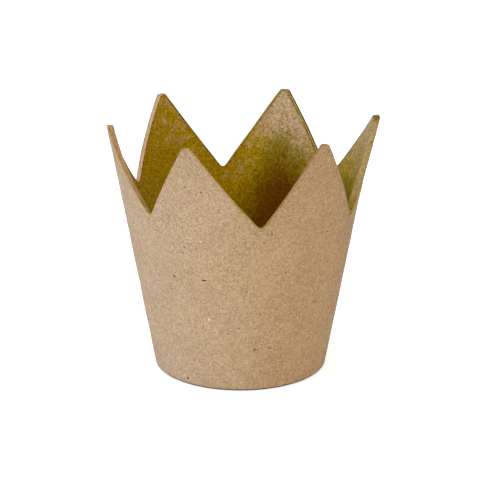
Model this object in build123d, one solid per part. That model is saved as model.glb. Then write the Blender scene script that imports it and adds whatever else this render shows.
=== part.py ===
"""Paper crown: a flared, flat-bottomed cup of pressed paper whose rim is cut into pointed teeth.

Millimetres and degrees. The origin is the centre of the underside and +Z is up.
Directions are counted round the axis from the front, which is -Y, towards +X.
"""

from build123d import *

import os
from math import cos, degrees, hypot, radians, sin

# The cup, measured outside
height = 125.0
base_radius = 42.5
rim_radius = 65.0
base_edge_radius = 1.6

# The paper
wall_thickness = 3.2
floor_thickness = 3.2
floor_corner_radius = 2.5

# The teeth and the notches between them
tooth_count = 6
tip_width = 4.2
tip_corner_radius = 1.7
notch_height = 84.5
notch_bottom_radius = 1.8
cut_centre_height = 110.0

# How far the hand-cut teeth and notches stray from even places: round the axis in degrees, then upwards
tip_drifts = (-2.3, -2.9, -5.7, -0.3, -0.8, 0.7)
notch_drifts = (0.1, -3.8, -1.5, -0.5, -2.7, 3.6)
notch_rises = (0.8, -1.6, -0.4, -1.9, -0.4, 3.4)

# Worked out from the sizes above
flare = (rim_radius - base_radius) / height
wall_slope = hypot(1.0, flare)
tooth_pitch = 360.0 / tooth_count
half_tip_angle = degrees(tip_width / 2 / rim_radius)

# The tooth whose middle the wall's seam runs up, here the back left one
seam_tooth = 4

# How far past the wall and past the tips a notch's wedge is drawn, so that it cuts right through
overreach = 1.6


def outer_radius(z):
    """Radius of the outside of the wall at a height."""
    return base_radius + flare * z


def inner_radius(z):
    """Radius of the inside of the wall at a height."""
    return outer_radius(z) - wall_thickness * wall_slope


def on_wall(direction, z):
    """Point on the outside of the wall."""
    turn = radians(direction)
    return Vector(outer_radius(z) * sin(turn), -outer_radius(z) * cos(turn), z)


def tip_direction(index):
    """Direction of the middle of a tooth. Tooth 0 stands left of the front notch."""
    return tooth_pitch * (index - 0.5) + tip_drifts[index % len(tip_drifts)]


def notch_bottom(index):
    """Bottom of a notch. Notch 0 faces the front and follows tooth 0."""
    direction = tooth_pitch * index + notch_drifts[index % len(notch_drifts)]
    return on_wall(direction, notch_height + notch_rises[index % len(notch_rises)])


def make_cup():
    """The cup before its teeth are cut: one profile turned round the axis.

    The turn starts under the middle of a tooth, so that the wall's seam keeps clear of every cut.
    """
    profile = Polyline(
        (0, 0),
        (base_radius, 0),
        (rim_radius, height),
        (inner_radius(height), height),
        (inner_radius(floor_thickness), floor_thickness),
        (0, floor_thickness),
        close=True,
    )
    cup = Rot(0, 0, tip_direction(seam_tooth) - 90) * revolve(Plane.XZ * make_face(profile), axis=Axis.Z)
    circles = cup.edges().filter_by(GeomType.CIRCLE)
    underside_edge = circles.filter_by_position(Axis.Z, 0, 0)
    cup = fillet(underside_edge, base_edge_radius)
    circles = cup.edges().filter_by(GeomType.CIRCLE)
    floor_corner = circles.filter_by_position(Axis.Z, floor_thickness, floor_thickness)
    return fillet(floor_corner, floor_corner_radius)


def make_wedge(index):
    """The paper that a notch takes away.

    All the wedge's faces run to one point on the axis, so each cut stands square to the wall.
    """
    centre = Vector(0, 0, cut_centre_height)
    bottom = notch_bottom(index)
    corners = [bottom]
    for direction in (tip_direction(index) + half_tip_angle, tip_direction(index + 1) - half_tip_angle):
        flank = on_wall(direction, height) - bottom
        corners.append(bottom + flank * overreach)
    outer_end = Polyline(*[centre + (corner - centre) * overreach for corner in corners], close=True)
    return loft([make_face(outer_end), Vertex(*centre)])


def cuts_through_wall(edge):
    """True for the short straight edges that cross the wall, at tips and notch bottoms."""
    return edge.geom_type != GeomType.CIRCLE and edge.length < 1.5 * wall_thickness


def round_corners(crown):
    """Rounds the tips' corners and the notches' bottoms, as scissors and glued paper leave them."""
    mid_tooth_height = (notch_height + height) / 2
    crossing = crown.edges().filter_by(cuts_through_wall)
    tip_corners = crossing.filter_by_position(Axis.Z, mid_tooth_height, height + overreach)
    crown = fillet(tip_corners, tip_corner_radius)
    crossing = crown.edges().filter_by(cuts_through_wall)
    notch_bottoms = crossing.filter_by_position(Axis.Z, floor_thickness + floor_corner_radius, mid_tooth_height)
    return fillet(notch_bottoms, notch_bottom_radius)


def make_crown():
    """The whole crown, which is one piece of paper work."""
    crown = make_cup()
    for index in range(tooth_count):
        crown = crown - make_wedge(index)
    return round_corners(crown)


if __name__ == "__main__":
    os.makedirs("parts", exist_ok=True)
    export_step(make_crown(), "parts/crown.step")
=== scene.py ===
"""A papier-mache crown in a plain studio.

The crown is a flared cup of pressed kraft paper whose rim is cut into pointed teeth. Lengths are in metres.
Directions are counted in degrees round the axis from the front, which is -Y, towards +X.
"""

from functools import partial
from math import atan, cos, degrees, hypot, pi, radians, sin, tan

import bpy
import numpy as np
from bpy.props import FloatProperty, FloatVectorProperty, IntProperty, PointerProperty
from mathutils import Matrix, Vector


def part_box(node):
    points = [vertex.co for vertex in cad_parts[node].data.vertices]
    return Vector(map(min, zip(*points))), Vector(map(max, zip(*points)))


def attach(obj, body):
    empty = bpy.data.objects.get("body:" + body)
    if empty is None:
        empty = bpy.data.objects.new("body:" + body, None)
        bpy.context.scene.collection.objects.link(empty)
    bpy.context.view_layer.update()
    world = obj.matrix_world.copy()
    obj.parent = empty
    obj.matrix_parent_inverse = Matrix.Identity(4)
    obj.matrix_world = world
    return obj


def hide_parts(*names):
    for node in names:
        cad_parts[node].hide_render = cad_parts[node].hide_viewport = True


bl_info = {
    "name": "Papier-mache crown",
    "version": (1, 0, 0),
    "blender": (4, 5, 0),
    "location": "View3D > Sidebar > Crown",
    "description": "Models a kraft papier-mache crown and the studio that it stands in",
    "category": "Object",
}

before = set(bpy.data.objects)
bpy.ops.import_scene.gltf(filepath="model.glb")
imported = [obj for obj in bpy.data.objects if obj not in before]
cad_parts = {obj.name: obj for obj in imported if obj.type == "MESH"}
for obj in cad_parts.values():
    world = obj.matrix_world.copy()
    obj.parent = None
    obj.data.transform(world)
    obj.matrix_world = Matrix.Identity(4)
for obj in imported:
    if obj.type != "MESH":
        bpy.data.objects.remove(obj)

MM = 0.001

# Settings that many of the material's nodes share
SMOOTH = {"interpolation_type": "SMOOTHSTEP"}
COLOURS = {"data_type": "RGBA"}
SEEDED = {"noise_dimensions": "4D"}
PLUS = {"operation": "ADD"}
MINUS = {"operation": "SUBTRACT"}
TIMES = {"operation": "MULTIPLY"}
TIMES_PLUS = {"operation": "MULTIPLY_ADD"}

# Settings that all colour properties share
COLOUR = {"subtype": "COLOR", "size": 4, "min": 0, "max": 1}

# How far the hand-cut teeth and notches stray from even places: round the axis in degrees, then upwards
# in millimetres. Tooth 0 stands left of the front notch, which is notch 0.
TIP_DRIFTS = (-2.3, -2.9, -5.7, -0.3, -0.8, 0.7)
NOTCH_DRIFTS = (0.1, -3.8, -1.5, -0.5, -2.7, 3.6)
NOTCH_RISES = (1.6, -1.6, -0.4, -0.5, 0.0, 3.4)

# How far each tip stands above the even height and leans out from the straight flare, in millimetres
TIP_RISES = (0.4, 0.4, 0.1, 0.1, 0.1, -0.8)
TIP_LEANS = (-0.5, 0.0, 2.8, 0.2, 0.0, 0.1)

# How much lower the two cuts of each notch come out on the inside than straight through, in millimetres
CUT_DROPS = ((1.6, 1.8), (1.0, -0.6), (0.5, -0.6), (0.9, 0.9), (-1.0, 0.4), (3.2, 1.8))

# Single marks on the outside of this crown. Each has its direction in degrees, then the height that it stands
# at, its width and its own height in millimetres.
BARK_MARKS = (
    (331.6, 59.4, 3.0, 1.0),
    (314.4, 59.0, 1.5, 1.4),
    (13.6, 63.1, 0.9, 0.9),
    (40.4, 63.4, 0.9, 0.9),
    (35.5, 43.3, 0.9, 1.2),
    (353.5, 54.5, 0.8, 1.0),
    (314.1, 3.8, 1.2, 2.2),
)
OLIVE_MARKS = (
    (56.4, 87.4, 2.0, 4.5),
    (40.9, 32.8, 1.4, 1.4),
    (358.5, 23.1, 1.6, 2.0),
    (7.6, 23.2, 2.6, 1.0),
    (4.9, 84.0, 1.0, 3.0),
)
PALE_MARKS = ((332.8, 38.6, 1.4, 1.6), (331.3, 79.6, 1.2, 0.9))

# A scrap of bare paper inside, under the back notch, given in the same way
INSIDE_SCRAP = (178.5, 82, 3.2, 5)

# Faces round the crown and along its section: enough for the relief of the paper to show in the mesh
COLUMNS_PER_TOOTH = 80
OUTER_ROWS = 84
INNER_ROWS = 78
FLOOR_RINGS = 10
RIM_ROWS = 2

# How much closer the columns stand at the tips and at the notches' bottoms. At 0 they would stand evenly.
CROWDING = 0.55

# Degrees over which the lean of one tooth gives way to that of the next
LEAN_BLEND = 12

# Breadth of the dents and of the wrinkles in the laid paper
DENT_BREADTH = 17 * MM
WRINKLE_BREADTH = 3.4 * MM

# Layers of fibres. Each has its shift on the sheet, its spacing, and its fibres' length and width, in
# millimetres. Real fibres are a tenth of a millimetre thick, too fine to show, so these are thicker.
DARK_FIBRES = ((0, 2.1, 2.4, 0.36), (20, 2.1, 2.4, 0.36))
PALE_FIBRES = ((40, 2.1, 2.2, 0.38), (60, 2.1, 2.2, 0.38))
LONG_FIBRES = (80, 3.2, 3.2, 0.4)
FIBRE_RELIEF = 0.12 * MM

# The soft lights: name, place and side in metres, power in watts, colour
LIGHTS = (
    ("side_light", (-1.3, -0.5, 0.25), 0.7, 22.3, "#A0C3FF"),
    ("front_light", (-0.1, -1.2, 1.0), 0.9, 7.2, "#FFEDD0"),
    ("top_light", (0, 0.1, 1.5), 1.2, 10, "#FFFFFF"),
)
LIGHTS_TARGET = (0, 0, 0.06)

# Strength of the studio's white air, as a light and as the camera sees it
AIR_LIGHT = 0.45
AIR_SEEN = 1.2


def linear(colour):
    """The linear red, green, blue and alpha of an sRGB hex colour."""
    parts = [int(colour[start : start + 2], 16) / 255 for start in (1, 3, 5)]
    return [*(part / 12.92 if part <= 0.04045 else ((part + 0.055) / 1.055) ** 2.4 for part in parts), 1]


class CrownSizes(bpy.types.PropertyGroup):
    """Sizes of the paper crown."""

    height: FloatProperty(
        name="Height", description="From the table to the tips", default=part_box("crown")[1].z, unit="LENGTH"
    )
    base_radius: FloatProperty(
        name="Base radius", description="Outside of the wall at the table", default=42.5 * MM, unit="LENGTH"
    )
    rim_radius: FloatProperty(
        name="Rim radius", description="Outside of the wall at the tips", default=65.0 * MM, unit="LENGTH"
    )
    base_edge_radius: FloatProperty(
        name="Base edge", description="Rounding of the outer bottom edge", default=1.6 * MM, unit="LENGTH"
    )
    wall_thickness: FloatProperty(
        name="Wall", description="Thickness of the pressed paper", default=3.2 * MM, unit="LENGTH"
    )
    floor_thickness: FloatProperty(
        name="Floor", description="Thickness of the closed bottom", default=3.2 * MM, unit="LENGTH"
    )
    floor_corner_radius: FloatProperty(
        name="Floor corner",
        description="Rounding where the floor meets the wall",
        default=2.5 * MM,
        unit="LENGTH",
    )
    rim_edge_radius: FloatProperty(
        name="Cut edge", description="Softness of the cut paper's edges", default=0.6 * MM, unit="LENGTH"
    )
    tooth_count: IntProperty(name="Teeth", description="Number of pointed teeth", default=6, min=3)
    tip_width: FloatProperty(
        name="Tip width",
        description="Width of a blunt tip before it is rounded",
        default=4.8 * MM,
        unit="LENGTH",
    )
    tip_corner_radius: FloatProperty(
        name="Tip rounding", description="Rounding of a tip's corners", default=2.1 * MM, unit="LENGTH"
    )
    notch_height: FloatProperty(
        name="Notch height",
        description="From the table to the notches' sharp bottoms",
        default=84.5 * MM,
        unit="LENGTH",
    )
    notch_bottom_radius: FloatProperty(
        name="Notch rounding",
        description="Rounding of the notches' bottoms",
        default=1.8 * MM,
        unit="LENGTH",
    )
    cut_centre_height: FloatProperty(
        name="Cut centre",
        description="Height on the axis that all the cuts point at",
        default=106.0 * MM,
        unit="LENGTH",
    )
    lean_start: FloatProperty(
        name="Lean start",
        description="Height at which a tooth begins to lean",
        default=86.0 * MM,
        unit="LENGTH",
    )
    dent_depth: FloatProperty(
        name="Dents",
        description="Depth of the broad unevenness of the laid paper",
        default=0.4 * MM,
        unit="LENGTH",
    )
    wrinkle_depth: FloatProperty(
        name="Wrinkles",
        description="Depth of the small wrinkles of the laid paper",
        default=0.16 * MM,
        unit="LENGTH",
    )


class CrownFinish(bpy.types.PropertyGroup):
    """Colours of the kraft paper."""

    kraft: FloatVectorProperty(
        name="Kraft", description="Outside of the crown", default=linear("#A18461"), **COLOUR
    )
    rosy_kraft: FloatVectorProperty(
        name="Rosy kraft", description="Pinker clouds on the outside", default=linear("#AC826C"), **COLOUR
    )
    yellow_kraft: FloatVectorProperty(
        name="Yellow kraft", description="Yellower clouds, right cuts", default=linear("#9C864C"), **COLOUR
    )
    kraft_inside: FloatVectorProperty(
        name="Kraft inside", description="Inside, where paper is bare", default=linear("#BA986A"), **COLOUR
    )
    # Olive gold inside: partly glue, partly painted shade
    glue_and_shade: FloatVectorProperty(
        name="Glue", description="Inside, where the glue has soaked in", default=linear("#A98700"), **COLOUR
    )
    # Olive green: the painted edge of the shadow inside and painted shade low on the front cuts, and olive
    # glue outside
    green_glue_and_shade: FloatVectorProperty(
        name="Green glue", description="Above the stain, on front cuts", default=linear("#7A6E00"), **COLOUR
    )
    # Painted shadow low down inside at the back right
    painted_shadow: FloatVectorProperty(
        name="Stain", description="Deep stain low down inside", default=linear("#6C4000"), **COLOUR
    )
    pale_fibre: FloatVectorProperty(
        name="Pale fibre", description="Light fibres", default=linear("#D2B48A"), **COLOUR
    )
    dark_fibre: FloatVectorProperty(
        name="Dark fibre", description="Dark fibres", default=linear("#664A24"), **COLOUR
    )
    speck: FloatVectorProperty(
        name="Speck", description="Dark specks of bark", default=linear("#4A3410"), **COLOUR
    )
    cut: FloatVectorProperty(
        name="Cut edge", description="Pulp laid bare by the cut", default=linear("#B08C66"), **COLOUR
    )
    cut_border: FloatVectorProperty(
        name="Cut border", description="Brown flecks and parts of cuts", default=linear("#875C12"), **COLOUR
    )
    # Painted highlight along the back right cut's ridge, and yellow glue on the left cuts
    glue_and_highlight: FloatVectorProperty(
        name="Glue ridge", description="Ridge of dried glue on a cut", default=linear("#B89436"), **COLOUR
    )
    dark_glue: FloatVectorProperty(
        name="Dark glue", description="Thick glue along the cuts", default=linear("#5E4A06"), **COLOUR
    )
    # Painted shadow: the line round the bottom, and the dark borders of the back right cut
    painted_shadow_line: FloatVectorProperty(
        name="Dark line", description="Round the bottom, by the ridge", default=linear("#3A2C08"), **COLOUR
    )


class CrownStudio(bpy.types.PropertyGroup):
    """The camera and the floor of the studio."""

    distance: FloatProperty(
        name="Distance",
        description="From the camera to the crown's axis",
        default=896.42 * MM,
        unit="LENGTH",
    )
    elevation: FloatProperty(
        name="Elevation",
        description="Camera's angle above the table",
        default=radians(18.151),
        subtype="ANGLE",
    )
    direction: FloatProperty(
        name="Direction",
        description="Camera's direction round the axis",
        default=radians(-9.65),
        subtype="ANGLE",
    )
    aim_height: FloatProperty(
        name="Aim height",
        description="Height on the axis at the picture's middle row",
        default=61.09 * MM,
        unit="LENGTH",
    )
    lens: FloatProperty(name="Lens", description="Focal length in millimetres", default=130.64)
    shift: FloatProperty(name="Shift", description="Sideways shift of the picture", default=0.0189)
    floor_colour: FloatVectorProperty(
        name="Floor", description="The plain floor", default=linear("#F6F6F4"), **COLOUR
    )


def tip_direction(sizes, index):
    """Direction of the middle of a tooth."""
    pitch = 360 / sizes.tooth_count
    return pitch * (index - 0.5) + TIP_DRIFTS[index % len(TIP_DRIFTS)]


def tip_height(sizes, index):
    """Height of a tip above the table."""
    return sizes.height + TIP_RISES[index % len(TIP_RISES)] * MM


def notch_direction(sizes, index):
    """Direction of the bottom of a notch."""
    pitch = 360 / sizes.tooth_count
    return pitch * index + NOTCH_DRIFTS[index % len(NOTCH_DRIFTS)]


def flare(sizes):
    """How far the wall runs outwards for each step up."""
    return (sizes.rim_radius - sizes.base_radius) / sizes.height


def wall_radius(sizes, z, depth):
    """Radius of the wall at a height. Depth is 0 on the outside and 1 on the inside."""
    level_thickness = sizes.wall_thickness * hypot(1, flare(sizes))
    return sizes.base_radius + flare(sizes) * z - depth * level_thickness


def on_wall(sizes, direction, z):
    """Point on the outside of the wall."""
    turn = radians(direction)
    radius = wall_radius(sizes, z, 0)
    return np.array((radius * sin(turn), -radius * cos(turn), z))


def cut_height(sizes, direction, depth, bottom, corner):
    """Height at which the straight cut from a notch's bottom to a tip's corner crosses the wall."""
    centre = np.array((0, 0, sizes.cut_centre_height))
    normal = np.cross(bottom - centre, corner - centre)
    turn = np.radians(direction)
    across = normal[0] * np.sin(turn) - normal[1] * np.cos(turn)
    reach = wall_radius(sizes, 0, depth) * across
    return (normal[2] * sizes.cut_centre_height - reach) / (flare(sizes) * across + normal[2])


def rounded_highest(first, second, width):
    """The higher of two heights, with a rounded change from one to the other."""
    overlap = np.maximum(width - np.abs(first - second), 0) / width
    return np.maximum(first, second) + overlap**2 * width / 4


def rim_height(sizes, column, direction, depth):
    """Height of the cut rim. A column counts the even places round the crown, in degrees."""
    half_tip = degrees(sizes.tip_width / 2 / sizes.rim_radius)
    pitch = radians(360 / sizes.tooth_count)
    steepness = (sizes.height - sizes.notch_height) / (pitch / 2 * sizes.rim_radius - sizes.tip_width / 2)
    tangent = sizes.tip_corner_radius * tan(atan(steepness) / 2)
    tip_width = 4 * (sizes.tip_corner_radius - (sizes.tip_corner_radius**2 - tangent**2) ** 0.5)
    notch_width = 4 * sizes.notch_bottom_radius * (hypot(1, steepness) - 1)
    nearest = np.rint(column * sizes.tooth_count / 360).astype(int)
    height = np.zeros_like(direction)
    for index in range(sizes.tooth_count + 1):
        rise = NOTCH_RISES[index % len(NOTCH_RISES)] * MM
        bottom = on_wall(sizes, notch_direction(sizes, index), sizes.notch_height + rise)
        left_top = tip_height(sizes, index)
        right_top = tip_height(sizes, index + 1)
        left = on_wall(sizes, tip_direction(sizes, index) + half_tip, left_top)
        right = on_wall(sizes, tip_direction(sizes, index + 1) - half_tip, right_top)
        here = nearest == index
        drops = CUT_DROPS[index % len(CUT_DROPS)]
        cuts = [
            cut_height(sizes, direction[here], depth[here], bottom, corner) - drop * MM * depth[here]
            for corner, drop in zip((left, right), drops)
        ]
        flank = rounded_highest(*cuts, notch_width)
        top = np.where(direction[here] < notch_direction(sizes, index), left_top, right_top)
        height[here] = -rounded_highest(-flank, -top, tip_width)
    return height


def lean(sizes, column, direction, z):
    """How far a leaning tooth carries the wall outwards at a height."""
    nearest = np.rint(column * sizes.tooth_count / 360).astype(int)
    reach = np.zeros_like(z)
    for index in range(sizes.tooth_count + 1):
        here = nearest == index
        share = np.clip((direction[here] - notch_direction(sizes, index)) / LEAN_BLEND + 0.5, 0, 1)
        share = share * share * (3 - 2 * share)
        left = TIP_LEANS[index % len(TIP_LEANS)] * MM
        right = TIP_LEANS[(index + 1) % len(TIP_LEANS)] * MM
        reach[here] = left + (right - left) * share
    rise = np.clip((z - sizes.lean_start) / (sizes.height - sizes.lean_start), 0, 1.1)
    return reach * rise**2


def directions_of(sizes, column):
    """Directions of the columns, drawn closer together at the tips and at the bottoms of the notches."""
    half_pitch = 180 / sizes.tooth_count
    knots = []
    for index in range(sizes.tooth_count + 1):
        knots += [notch_direction(sizes, index), tip_direction(sizes, index + 1)]
    knots = np.array(knots)
    cell = np.minimum((column / half_pitch).astype(int), 2 * sizes.tooth_count - 1)
    share = column / half_pitch - cell
    share = share - CROWDING * np.sin(2 * pi * share) / (2 * pi)
    return knots[cell] + (knots[cell + 1] - knots[cell]) * share


def select_edges(mesh, test):
    """Selects the edges whose middles pass a test, in edit mode."""
    bpy.ops.object.mode_set(mode="OBJECT")
    for part in (mesh.vertices, mesh.edges, mesh.polygons):
        part.foreach_set("select", np.zeros(len(part), bool))
    for edge in mesh.edges:
        middle = sum((mesh.vertices[index].co for index in edge.vertices), Vector()) / 2
        edge.select = test(middle, edge)
    bpy.ops.object.mode_set(mode="EDIT")


def draw_section(sizes):
    """Draws half of the crown's section: the underside, the outside, the rim, the inside and the floor."""
    inside = wall_radius(sizes, sizes.height, 1), wall_radius(sizes, sizes.floor_thickness, 1)
    corners = [
        Vector((0, 0, 0)),
        Vector((sizes.base_radius, 0, 0)),
        Vector((sizes.rim_radius, 0, sizes.height)),
        Vector((inside[0], 0, sizes.height)),
        Vector((inside[1], 0, sizes.floor_thickness)),
        Vector((0, 0, sizes.floor_thickness)),
    ]
    bpy.ops.mesh.primitive_plane_add(size=sizes.base_radius, location=(0, 0, 0))
    crown = bpy.context.object
    bpy.ops.object.mode_set(mode="EDIT")
    bpy.ops.mesh.select_all(action="SELECT")
    bpy.ops.mesh.merge(type="CENTER")
    for start, end in zip(corners, corners[1:]):
        bpy.ops.mesh.extrude_region_move(TRANSFORM_OT_translate={"value": end - start})
    return crown


def round_section(sizes, crown):
    """Rounds the corners of the section."""
    wall_angle = atan(flare(sizes))
    roundings = [
        ((sizes.base_radius, 0), sizes.base_edge_radius, pi / 2 - wall_angle, 5),
        ((sizes.rim_radius, sizes.height), sizes.rim_edge_radius, pi / 2 + wall_angle, 4),
        ((wall_radius(sizes, sizes.height, 1), sizes.height), sizes.rim_edge_radius, pi / 2 - wall_angle, 4),
        (
            (wall_radius(sizes, sizes.floor_thickness, 1), sizes.floor_thickness),
            sizes.floor_corner_radius,
            pi / 2 - wall_angle,
            6,
        ),
    ]
    for (radius, z), rounding, turn, segments in roundings:
        bpy.ops.object.mode_set(mode="OBJECT")
        for part in (crown.data.vertices, crown.data.edges, crown.data.polygons):
            part.foreach_set("select", np.zeros(len(part), bool))
        corner = Vector((radius, 0, z))
        nearest = min(crown.data.vertices, key=lambda vertex: (vertex.co - corner).length)
        nearest.select = True
        bpy.ops.object.mode_set(mode="EDIT")
        offset = rounding * tan(turn / 2)
        bpy.ops.mesh.bevel(offset=offset, offset_type="OFFSET", segments=segments, affect="VERTICES")


def cut_section(sizes, crown):
    """Cuts the straight runs of the section into the rows of the mesh."""
    middle_depth = sizes.wall_thickness / 2
    tall = sizes.height / 2

    def outer(middle, edge):
        return abs(middle.x - wall_radius(sizes, middle.z, 0)) < middle_depth and is_long(edge)

    def inner(middle, edge):
        return abs(middle.x - wall_radius(sizes, middle.z, 1)) < middle_depth and is_long(edge)

    def level(middle, edge):
        return middle.z < sizes.floor_thickness + 1 * MM and length_of(edge) > sizes.base_radius / 2

    def top(middle, edge):
        return abs(middle.z - sizes.height) < 0.01 * MM

    def length_of(edge):
        start, end = (crown.data.vertices[index].co for index in edge.vertices)
        return (end - start).length

    def is_long(edge):
        return length_of(edge) > tall

    for test, rows in ((outer, OUTER_ROWS), (inner, INNER_ROWS), (level, FLOOR_RINGS), (top, RIM_ROWS)):
        select_edges(crown.data, test)
        bpy.ops.mesh.subdivide(number_cuts=rows - 1)


def turn_section(sizes):
    """Turns the section round the axis into a closed cup."""
    bpy.ops.mesh.select_all(action="SELECT")
    bpy.ops.mesh.spin(
        steps=COLUMNS_PER_TOOTH * sizes.tooth_count, angle=2 * pi, center=(0, 0, 0), axis=(0, 0, 1)
    )
    bpy.ops.mesh.select_all(action="SELECT")
    bpy.ops.mesh.remove_doubles(threshold=0.001 * MM)
    bpy.ops.mesh.normals_make_consistent(inside=False)
    bpy.ops.object.mode_set(mode="OBJECT")
    bpy.ops.object.shade_smooth()


def cut_teeth(sizes, crown):
    """Cuts the rim into teeth by sliding every vertex down its own line on the wall.

    Cutting the faces themselves would break the even rows, which the soft edge and the paper's relief need.
    """
    mesh = crown.data
    points = np.empty(len(mesh.vertices) * 3)
    mesh.vertices.foreach_get("co", points)
    x, y, z = points.reshape(-1, 3).T
    radius = np.hypot(x, y)
    column = np.degrees(np.arctan2(x, -y)) % 360

    # Rounding can leave the first column just short of a full turn
    column[column > 359.99] = 0
    level_thickness = wall_radius(sizes, 0, 0) - wall_radius(sizes, 0, 1)
    depth = np.clip((wall_radius(sizes, z, 0) - radius) / level_thickness, 0, 1)
    direction = directions_of(sizes, column)
    rim = rim_height(sizes, column, direction, depth)

    # How slanted the cut is, from its heights a step of a few tenths of a degree ahead and behind
    step = 0.3
    ahead = rim_height(sizes, column, direction + step, depth)
    behind = rim_height(sizes, column, direction - step, depth)
    slant = np.hypot(1, (ahead - behind) / (2 * radians(step) * sizes.rim_radius))

    # The soft edge keeps its shape below the cut, and the rows between it and the foot share what is left
    band = 2 * sizes.rim_edge_radius
    foot = sizes.floor_thickness + 2 * sizes.floor_corner_radius
    in_band = rim - (sizes.height - z) * slant
    share = (z - foot) / (sizes.height - band - foot)
    below = foot + (rim - band * slant - foot) * share
    height = np.where(z > sizes.height - band, in_band, np.where(z > foot, below, z))
    slid = np.where(z > foot, wall_radius(sizes, height, depth), radius)
    slid = slid + lean(sizes, column, direction, height)

    turn = np.radians(direction)
    moved = np.stack([slid * np.sin(turn), -slid * np.cos(turn), height], 1)
    mesh.vertices.foreach_set("co", moved.ravel())
    for name, values in (("wall_depth", depth), ("rim_gap", (rim - height) / slant)):
        attribute = mesh.attributes.new(name, "FLOAT", "POINT")
        attribute.data.foreach_set("value", values.astype(np.float32))
    mesh.update()


def uneven_paper(sizes, crown):
    """Gives the laid paper its unevenness. The underside stays flat on the table."""
    group = crown.vertex_groups.new(name="above the table")
    for vertex in crown.data.vertices:
        group.add([vertex.index], min(vertex.co.z / sizes.floor_corner_radius, 1), "REPLACE")
    reliefs = (
        ("dents", DENT_BREADTH, sizes.dent_depth),
        ("wrinkles", WRINKLE_BREADTH, sizes.wrinkle_depth),
    )
    for name, breadth, strength in reliefs:
        texture = bpy.data.textures.new(name, "CLOUDS")
        texture.noise_scale = breadth
        texture.noise_depth = 2
        modifier = crown.modifiers.new(name, "DISPLACE")
        modifier.texture = texture
        modifier.texture_coords = "LOCAL"
        modifier.vertex_group = group.name
        modifier.strength = strength
        modifier.mid_level = 0.5
        bpy.ops.object.modifier_apply(modifier=name)
    crown.vertex_groups.clear()


def lay_sheet(sizes, crown):
    """Rolls the wall out flat, so that the fibres of the paper lie in its sheet all round.

    The flat place of every face's corner goes into an attribute, in millimetres. The depth in the wall is
    added, so that the inside has its own fibres. The floor and the underside are flat already.
    """
    mesh = crown.data
    points = np.empty(len(mesh.vertices) * 3)
    mesh.vertices.foreach_get("co", points)
    x, y, z = points.reshape(-1, 3).T / MM
    depth = np.empty(len(mesh.vertices))
    mesh.attributes["wall_depth"].data.foreach_get("value", depth)
    corners = np.empty(len(mesh.loops), int)
    mesh.loops.foreach_get("vertex_index", corners)
    starts = np.empty(len(mesh.polygons), int)
    mesh.polygons.foreach_get("loop_start", starts)
    normals = np.empty(len(mesh.polygons) * 3)
    mesh.polygons.foreach_get("normal", normals)
    counts = np.diff(np.append(starts, len(corners)))

    # A face on the seam has corners at both ends of the turn, so those at the start go on past the end
    turn = np.arctan2(x, -y)[corners]
    across_seam = np.maximum.reduceat(turn, starts) - np.minimum.reduceat(turn, starts) > pi
    turn = np.where(np.repeat(across_seam, counts) & (turn < 0), turn + 2 * pi, turn)
    spread = sin(atan(flare(sizes)))
    slant = wall_radius(sizes, z[corners] * MM, 0) / MM / spread
    inwards = depth[corners] * sizes.wall_thickness / MM
    rolled = np.stack([slant * np.sin(turn * spread) + inwards, slant * np.cos(turn * spread)], 1)
    is_level = np.repeat(np.abs(normals.reshape(-1, 3)[:, 2]) > 0.9, counts)
    is_low = z[corners] < sizes.height / MM / 2
    flat = np.stack([x[corners], y[corners]], 1)
    places = np.zeros((len(corners), 3), np.float32)
    places[:, :2] = np.where((is_level & is_low)[:, None], flat, rolled)
    mesh.attributes.new("sheet", "FLOAT_VECTOR", "CORNER").data.foreach_set("vector", places.ravel())


def add_node(tree, kind, *inputs, **settings):
    """Adds a node and returns its first output. Inputs are values or sockets, in the node's own order."""
    node = tree.nodes.new("ShaderNode" + kind)
    for name, value in settings.items():
        setattr(node, name, value)
    sockets = [socket for socket in node.inputs if socket.enabled]
    for socket, value in zip(sockets, inputs):
        if isinstance(value, bpy.types.NodeSocket):
            tree.links.new(value, socket)
        elif value is not None:
            socket.default_value = value
    return next(socket for socket in node.outputs if socket.enabled)


# In the functions below every length is in millimetres, every share runs from 0 to 1, and a Map Range node's
# numbers are the two values it starts from and then what it gives at each of them.


def fibres(node, sheet, shift, spacing, length, width):
    """Short curled fibres, one in every cell of the spacing, each turned and bent its own way."""
    place = node("VectorMath", sheet, (shift, shift, 0), **PLUS)
    cells = node("TexVoronoi", place, 1 / spacing, voronoi_dimensions="2D").node.outputs
    offset = node("VectorMath", place, cells["Position"], **MINUS)
    turn, bend, luck = node("SeparateColor", cells["Color"]).node.outputs
    turned = node("VectorRotate", offset, None, node("Math", turn, 2 * pi, **TIMES), rotation_type="Z_AXIS")
    along, across, _ = node("SeparateXYZ", turned).node.outputs
    curl = node("MapRange", bend, 0, 1, -0.7, 0.7)
    sag = node("Math", node("Math", along, along, **TIMES), curl, **TIMES)
    off_line = node("Math", node("Math", across, sag, **PLUS), operation="ABSOLUTE")
    line = node("MapRange", off_line, 0.15 * width, 0.75 * width, 1, 0, **SMOOTH)
    off_middle = node("Math", along, operation="ABSOLUTE")
    reach = node("MapRange", off_middle, 0.35 * length, 0.5 * length, 1, 0, **SMOOTH)
    strength = node("MapRange", luck, 0, 1, 0.3, 1)
    return node("Math", node("Math", line, reach, **TIMES), strength, **TIMES)


def specks(node, place, spacing, size):
    """Round specks, one somewhere in every cell of the spacing."""
    cells = node("TexVoronoi", place, 1 / spacing)
    return node("MapRange", cells, 0.6 * size / spacing, size / spacing, 1, 0, **SMOOTH)


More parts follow.
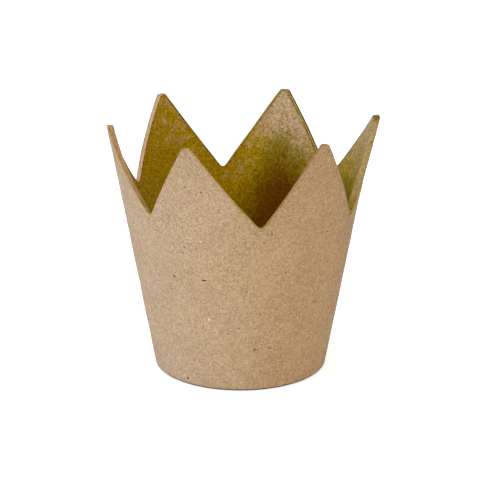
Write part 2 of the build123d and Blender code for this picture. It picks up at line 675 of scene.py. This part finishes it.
def mark(node, place, direction, height, width, tall, depth=0):
    """One mark on the wall. Its depth is 0 on the outside and 1 on the inside."""
    turn = radians(direction)
    radius = wall_radius(bpy.context.scene.crown_sizes, height * MM, depth) / MM
    middle = (radius * sin(turn), -radius * cos(turn), height)
    offset = node("VectorMath", place, middle, **MINUS)
    turned = node("Mapping", offset, None, (0, 0, -turn))
    scaled = node("VectorMath", turned, (2 / width, 2 / width, 2 / tall), **TIMES)
    distance = node("VectorMath", scaled, operation="LENGTH")
    return node("MapRange", distance, 0.5, 1.1, 1, 0, **SMOOTH)


def outside_colour(node, finish, place, patches, x, y, z, gap):
    """Outside: fawn kraft paper in pinker and yellower clouds, with olive glue along some of the cuts."""
    clouds = node("TexNoise", place, 1, 1 / 16, 2, 0.6, **SEEDED)
    tints = node("TexNoise", place, 5, 1 / 7, 3, 0.6, **SEEDED)
    pale = node("MapRange", clouds, 0.4, 0.65, 0, 0.1, **SMOOTH)
    rosy = node("MapRange", tints, 0.5, 0.66, 0, 0.25)
    yellow = node("MapRange", tints, 0.5, 0.34, 0, 0.25)
    colour = node("Mix", pale, finish.kraft, finish.pale_fibre, **COLOURS)
    colour = node("Mix", rosy, colour, finish.rosy_kraft, **COLOURS)
    colour = node("Mix", yellow, colour, finish.yellow_kraft, **COLOURS)
    # Painted shade: darker towards the tips, most left of the middle
    tip_painted_shade = node("MapRange", z, 102, 116, 0, 0.16)
    tip_painted_shade = node("Math", tip_painted_shade, node("MapRange", x, 10, 25, 1, 0.3), **TIMES)
    colour = node("Mix", tip_painted_shade, colour, finish.dark_fibre, **COLOURS)

    near_cut = node("MapRange", gap, 0.5, 2.2, 0.7, 0, **SMOOTH)
    low = node("MapRange", z, 98, 110, 1, 0.1)
    broken = node("MapRange", patches, 0.38, 0.52, **SMOOTH)
    in_front = node("MapRange", y, -5, -25, **SMOOTH)
    not_left = node("MapRange", x, -38, -30, 0.2, 1)
    seep = near_cut
    for share in (low, broken, in_front, not_left):
        seep = node("Math", seep, share, **TIMES)
    return node("Mix", seep, colour, finish.green_glue_and_shade, **COLOURS)


def inside_colour(node, finish, patches, x, z, gap):
    """Inside: olive gold, partly glued paper and partly painted shade, with lighter kraft where light is
    painted towards the tips, and a deep painted shadow at the back right.
    """
    # Painted light: bare kraft paper shows on the right above a ragged border that falls to the right, where
    # the painted shadow ends, and on the left in high patches
    level = node("Math", patches, 44, z, **TIMES_PLUS)
    level = node("Math", level, node("MapRange", x, 0, 43, 0, 21), **PLUS)
    level = node("Math", level, node("MapRange", x, 44, 50, 0, -9), **PLUS)
    painted_light_right = node("MapRange", level, 121, 151, **SMOOTH)
    # Painted shade: less of the lighter paper shows on the right tooth
    painted_light_right = node("Math", painted_light_right, node("MapRange", x, 38, 48, 1, 0.78), **TIMES)
    slanted = node("Math", x, 0.6, z, **TIMES_PLUS)
    painted_light_left = node("MapRange", patches, 0.46, 0.66, 0, 0.8, **SMOOTH)
    painted_light_left = node("Math", painted_light_left, node("MapRange", slanted, 74, 100), **TIMES)
    # Where light is painted the bare kraft shows; elsewhere the olive gold is partly glue and partly painted
    # shade
    bare = node("Mix", node("MapRange", x, 4, 22, **SMOOTH), painted_light_left, painted_light_right)
    colour = node("Mix", bare, finish.glue_and_shade, finish.kraft_inside, **COLOURS)

    # The painted shadow stands higher on the right, under a greener band that is its painted edge
    level = node("Math", z, node("MapRange", x, 6, 30, 0, 32, **SMOOTH), **MINUS)
    level = node("Math", level, node("MapRange", x, 28, 46, 0, 14, **SMOOTH), **PLUS)
    level = node("Math", patches, 20, level, **TIMES_PLUS)
    painted_shadow_edge = node("MapRange", level, 74, 89, 0.55, 0, **SMOOTH)
    painted_shadow_edge = node("Math", painted_shadow_edge, node("MapRange", x, 0, 12, **SMOOTH), **TIMES)
    colour = node("Mix", painted_shadow_edge, colour, finish.green_glue_and_shade, **COLOURS)
    painted_shadow_share = node("MapRange", level, 52, 85, 1, 0, **SMOOTH)
    colour = node("Mix", painted_shadow_share, colour, finish.painted_shadow, **COLOURS)

    # A broken dark line along the cuts
    line = node("MapRange", gap, 0.4, 1.6, 0.75, 0, **SMOOTH)
    line = node("Math", line, node("MapRange", patches, 0.38, 0.5), **TIMES)
    return node("Mix", line, colour, finish.dark_glue, **COLOURS)


def cut_colour(node, finish, patches, x, y, z, depth):
    """Cut edge: bare pulp with brown flecks, glued in front and on the right tip, with painted shade low on
    the front cuts and at the back right, where a painted highlight runs along the ridge.
    """
    flecks = node("MapRange", depth, 0.55, 0.2, 0, 0.85)
    flecks = node("Math", flecks, node("MapRange", patches, 0.46, 0.53), **TIMES)
    colour = node("Mix", flecks, finish.cut, finish.cut_border, **COLOURS)
    right = node("MapRange", x, 44, 54, 0, 0.75)
    colour = node("Mix", right, colour, finish.yellow_kraft, **COLOURS)
    left = node("MapRange", x, -48, -56, 0, 0.2)
    left = node("Math", left, node("MapRange", patches, 0.4, 0.5), **TIMES)
    colour = node("Mix", left, colour, finish.glue_and_highlight, **COLOURS)

    front = node("MapRange", y, -34, -42, 0, 0.7, **SMOOTH)
    front_glue = node("Mix", node("MapRange", x, -6, -3), finish.glue_and_shade, finish.cut_border, **COLOURS)
    colour = node("Mix", front, colour, front_glue, **COLOURS)
    # Painted shade: olive low on the front cuts, near the notches' bottoms
    low = node("MapRange", z, 99, 88, 0, 0.85)
    low = node("Math", low, node("MapRange", patches, 0.34, 0.48), **TIMES)
    low = node("Math", low, node("MapRange", y, 0, -15), **TIMES)
    colour = node("Mix", low, colour, finish.green_glue_and_shade, **COLOURS)
    right_tip = node("MapRange", z, 121.5, 124)
    right_tip = node("Math", right_tip, node("MapRange", x, 40, 50, 0, 0.85), **TIMES)
    right_tip = node("Math", right_tip, node("MapRange", patches, 0.46, 0.54), **TIMES)
    colour = node("Mix", right_tip, colour, finish.dark_glue, **COLOURS)

    # At the back the cut is brown, and at the back right a painted highlight runs along its ridge between
    # borders of painted shade
    behind = node("MapRange", y, 18, 32, **SMOOTH)
    behind = node("Math", behind, node("MapRange", x, -30, -20, 0, 0.9), **TIMES)
    far_right = node("MapRange", x, 26, 32)
    brown_and_painted_shade = node("Mix", far_right, finish.cut_border, finish.painted_shadow_line, **COLOURS)
    colour = node("Mix", behind, colour, brown_and_painted_shade, **COLOURS)
    ridge = node("MapRange", depth, 0.55, 0.65)
    for share in (node("MapRange", depth, 0.95, 0.88), far_right, behind):
        ridge = node("Math", ridge, share, **TIMES)
    return node("Mix", ridge, colour, finish.glue_and_highlight, **COLOURS)


def with_fibres(node, finish, sheet, patches, grain, x, depth, dark, pale, colour):
    """A colour with the light and dark of the paper in it, painted shade on the right tooth, and its fibres.
    The cuts have no fibres.
    """
    outer = node("MapRange", depth, 0.1, 0.03)
    inner = node("MapRange", depth, 0.92, 0.99)
    on_cut = node("Math", node("Math", 1, outer, **MINUS), inner, **MINUS)
    tone = node("MapRange", grain, 0.25, 0.75, 0.93, 1.07)
    tone = node("Math", tone, node("MapRange", patches, 0.3, 0.7, 0.9, 1.1), **TIMES)
    # Painted shade: everything beyond 36 mm to the right is darkened
    tone = node("Math", tone, node("MapRange", x, 36, 50, 1, 0.93, **SMOOTH), **TIMES)
    tone = node("Math", node("Math", dark, inner, **TIMES), -0.6, tone, **TIMES_PLUS)
    tone = node("Math", node("Math", pale, inner, **TIMES), 0.7, tone, **TIMES_PLUS)
    rough = node("MapRange", grain, 0.3, 0.7, -0.25, 0.25)
    tone = node("Math", on_cut, rough, tone, **TIMES_PLUS)
    colour = node("VectorMath", colour, tone, **TIMES)

    dark_share = node("Math", node("Math", dark, outer, **TIMES), 0.4, **TIMES)
    colour = node("Mix", dark_share, colour, finish.dark_fibre, **COLOURS)
    pale_share = node("Math", node("Math", pale, outer, **TIMES), 0.45, **TIMES)
    colour = node("Mix", pale_share, colour, finish.pale_fibre, **COLOURS)
    long_share = node("Math", outer, 0.5, node("Math", inner, 0.75, **TIMES), **TIMES_PLUS)
    long_share = node("Math", fibres(node, sheet, *LONG_FIBRES), long_share, **TIMES)
    return node("Mix", long_share, colour, finish.dark_fibre, **COLOURS)


def with_marks(node, finish, place, patches, z, colour):
    """A colour with random specks and this crown's own marks on it, and a painted shadow line round its
    bottom.
    """
    colour = node("Mix", specks(node, place, 5.5, 0.42), colour, finish.speck, **COLOURS)
    bark = (BARK_MARKS, 1, finish.speck)
    olive = (OLIVE_MARKS, 0.75, finish.dark_glue)
    pale = (PALE_MARKS, 1, finish.pale_fibre)
    for marks, strength, paint in (bark, olive, pale):
        for size_and_place in marks:
            share = node("Math", mark(node, place, *size_and_place), strength, **TIMES)
            colour = node("Mix", share, colour, paint, **COLOURS)
    scrap = mark(node, place, *INSIDE_SCRAP, depth=1)
    scrap = node("Math", scrap, node("MapRange", patches, 0.42, 0.5), **TIMES)
    colour = node("Mix", scrap, colour, finish.kraft_inside, **COLOURS)

    # Painted shadow: a dark line round the bottom edge, where it meets the table
    from_axis = node("VectorMath", node("VectorMath", place, (1, 1, 0), **TIMES), operation="LENGTH")
    bottom_painted_shadow = node("MapRange", z, 0.6, 1.5, 0.9, 0, **SMOOTH)
    bottom_painted_shadow = node("Math", bottom_painted_shadow, node("MapRange", from_axis, 40, 41), **TIMES)
    return node("Mix", bottom_painted_shadow, colour, finish.painted_shadow_line, **COLOURS)


def kraft_papier_mache(finish):
    """Kraft papier-mache: recycled brown paper pulp, pressed in a mould and covered with glued kraft paper.

    To the eye it is matt and fawn, with short curled fibres, pale clouds and a few dark specks. Inside it is
    olive gold, partly glued paper and partly painted shade, with lighter kraft where light is painted and a
    deep painted shadow low down at the back right. Painted shade also lies on the right tooth, on some cuts
    and round the bottom, and a painted highlight on the back right cut.
    """
    material = bpy.data.materials.new("kraft papier-mache")
    material.use_nodes = True
    tree = material.node_tree
    shader = tree.nodes["Principled BSDF"]
    node = partial(add_node, tree)
    place = node("TexCoord").node.outputs["Object"]
    place = node("Mapping", place, None, None, (1 / MM, 1 / MM, 1 / MM))
    x, y, z = node("SeparateXYZ", place).node.outputs
    sheet = node("Attribute", attribute_name="sheet").node.outputs["Vector"]
    depth = node("Attribute", attribute_name="wall_depth").node.outputs["Fac"]
    gap = node("Math", node("Attribute", attribute_name="rim_gap").node.outputs["Fac"], 1 / MM, **TIMES)
    patches = node("TexNoise", place, 2, 1 / 3.2, 3, 0.6, **SEEDED)
    grain = node("TexNoise", place, 3, 1 / 0.65, 1, 0.6, **SEEDED)
    dark = node("Math", *[fibres(node, sheet, *layer) for layer in DARK_FIBRES], operation="MAXIMUM")
    pale = node("Math", *[fibres(node, sheet, *layer) for layer in PALE_FIBRES], operation="MAXIMUM")

    outside = outside_colour(node, finish, place, patches, x, y, z, gap)
    cut = cut_colour(node, finish, patches, x, y, z, depth)
    inside = inside_colour(node, finish, patches, x, z, gap)
    colour = node("Mix", node("MapRange", depth, 0.03, 0.1), outside, cut, **COLOURS)
    colour = node("Mix", node("MapRange", depth, 0.95, 0.99), colour, inside, **COLOURS)
    colour = with_fibres(node, finish, sheet, patches, grain, x, depth, dark, pale, colour)
    colour = with_marks(node, finish, place, patches, z, colour)
    tree.links.new(colour, shader.inputs["Base Color"])

    relief = node("Math", pale, 0.5, grain, **TIMES_PLUS)
    bump = node("Bump", 0.6, FIBRE_RELIEF)
    tree.links.new(relief, bump.node.inputs["Height"])
    tree.links.new(bump, shader.inputs["Normal"])
    shader.inputs["Roughness"].default_value = 0.9
    shader.inputs["Specular IOR Level"].default_value = 0.02
    shader.inputs["Sheen Weight"].default_value = 0.05
    shader.inputs["Sheen Roughness"].default_value = 0.5
    return material


class CROWN_OT_paper_crown(bpy.types.Operator):
    """Models the crown of pressed kraft paper"""

    bl_idname = "crown.paper_crown"
    bl_label = "Paper crown"

    def execute(self, context):
        sizes = context.scene.crown_sizes
        bpy.ops.object.select_all(action="DESELECT")
        crown = draw_section(sizes)
        crown.name = "paper_crown"
        round_section(sizes, crown)
        cut_section(sizes, crown)
        turn_section(sizes)
        cut_teeth(sizes, crown)
        uneven_paper(sizes, crown)
        lay_sheet(sizes, crown)
        crown.data.materials.append(kraft_papier_mache(context.scene.crown_finish))
        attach(crown, "root")
        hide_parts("crown")
        return {"FINISHED"}


def add_soft_light(name, location, side, power, colour):
    """Adds a square soft light that points at the middle of the crown."""
    aim = (Vector(LIGHTS_TARGET) - Vector(location)).to_track_quat("-Z", "Y").to_euler()
    bpy.ops.object.light_add(type="AREA", location=location, rotation=aim)
    light = bpy.context.object
    light.name = name
    light.data.shape = "SQUARE"
    light.data.size = side
    light.data.energy = power
    light.data.color = linear(colour)[:3]


class CROWN_OT_studio(bpy.types.Operator):
    """Sets up the floor, the lights and the camera"""

    bl_idname = "crown.studio"
    bl_label = "Studio"

    def execute(self, context):
        studio = context.scene.crown_studio
        bpy.ops.object.select_all(action="DESELECT")
        bpy.ops.mesh.primitive_plane_add(size=6, location=(0, 0, 0))
        floor = bpy.context.object
        floor.name = "studio_floor"
        paint = bpy.data.materials.new("matt white studio floor")
        paint.use_nodes = True
        shader = paint.node_tree.nodes["Principled BSDF"]
        shader.inputs["Base Color"].default_value = studio.floor_colour
        shader.inputs["Roughness"].default_value = 1
        shader.inputs["Specular IOR Level"].default_value = 0
        shader.inputs["Emission Color"].default_value = (1, 1, 1, 1)
        shader.inputs["Emission Strength"].default_value = 0.5
        floor.data.materials.append(paint)

        for light in LIGHTS:
            add_soft_light(*light)

        world = bpy.data.worlds.new("studio air")
        world.use_nodes = True
        tree = world.node_tree
        background = tree.nodes["Background"]
        background.inputs["Color"].default_value = (1, 1, 1, 1)
        seen = add_node(tree, "LightPath").node.outputs["Is Camera Ray"]
        strength = add_node(tree, "MapRange", seen, 0, 1, AIR_LIGHT, AIR_SEEN)
        tree.links.new(strength, background.inputs["Strength"])
        context.scene.world = world

        level = studio.distance * cos(studio.elevation)
        location = (
            level * sin(studio.direction),
            -level * cos(studio.direction),
            studio.aim_height + studio.distance * sin(studio.elevation),
        )
        rotation = (pi / 2 - studio.elevation, 0, studio.direction)
        bpy.ops.object.camera_add(location=location, rotation=rotation)
        camera = bpy.context.object
        camera.data.lens = studio.lens
        camera.data.sensor_width = 36
        camera.data.shift_x = studio.shift
        camera.data.clip_start = 0.05
        camera.data.clip_end = 20
        context.scene.camera = camera
        context.scene.view_settings.view_transform = "Standard"
        return {"FINISHED"}


class CROWN_PT_sidebar(bpy.types.Panel):
    """Lists the crown's sizes, its colours and what can be built"""

    bl_idname = "CROWN_PT_sidebar"
    bl_label = "Papier-mache crown"
    bl_space_type = "VIEW_3D"
    bl_region_type = "UI"
    bl_category = "Crown"

    def draw(self, context):
        for group in (context.scene.crown_sizes, context.scene.crown_finish, context.scene.crown_studio):
            box = self.layout.box()
            for name in group.bl_rna.properties.keys():
                if name not in ("rna_type", "name"):
                    box.prop(group, name)
        self.layout.operator(CROWN_OT_paper_crown.bl_idname)
        self.layout.operator(CROWN_OT_studio.bl_idname)


CLASSES = (CrownSizes, CrownFinish, CrownStudio, CROWN_OT_paper_crown, CROWN_OT_studio, CROWN_PT_sidebar)


def register():
    """Registers the classes and gives the scene their settings."""
    for made in CLASSES:
        bpy.utils.register_class(made)
    bpy.types.Scene.crown_sizes = PointerProperty(type=CrownSizes)
    bpy.types.Scene.crown_finish = PointerProperty(type=CrownFinish)
    bpy.types.Scene.crown_studio = PointerProperty(type=CrownStudio)


def unregister():
    """Takes away what register gave."""
    del bpy.types.Scene.crown_studio
    del bpy.types.Scene.crown_finish
    del bpy.types.Scene.crown_sizes
    for made in reversed(CLASSES):
        bpy.utils.unregister_class(made)


def main():
    """Builds the crown and its studio."""
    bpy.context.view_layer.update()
    register()
    bpy.ops.crown.paper_crown()
    bpy.ops.crown.studio()


if __name__ == "__main__":
    main()
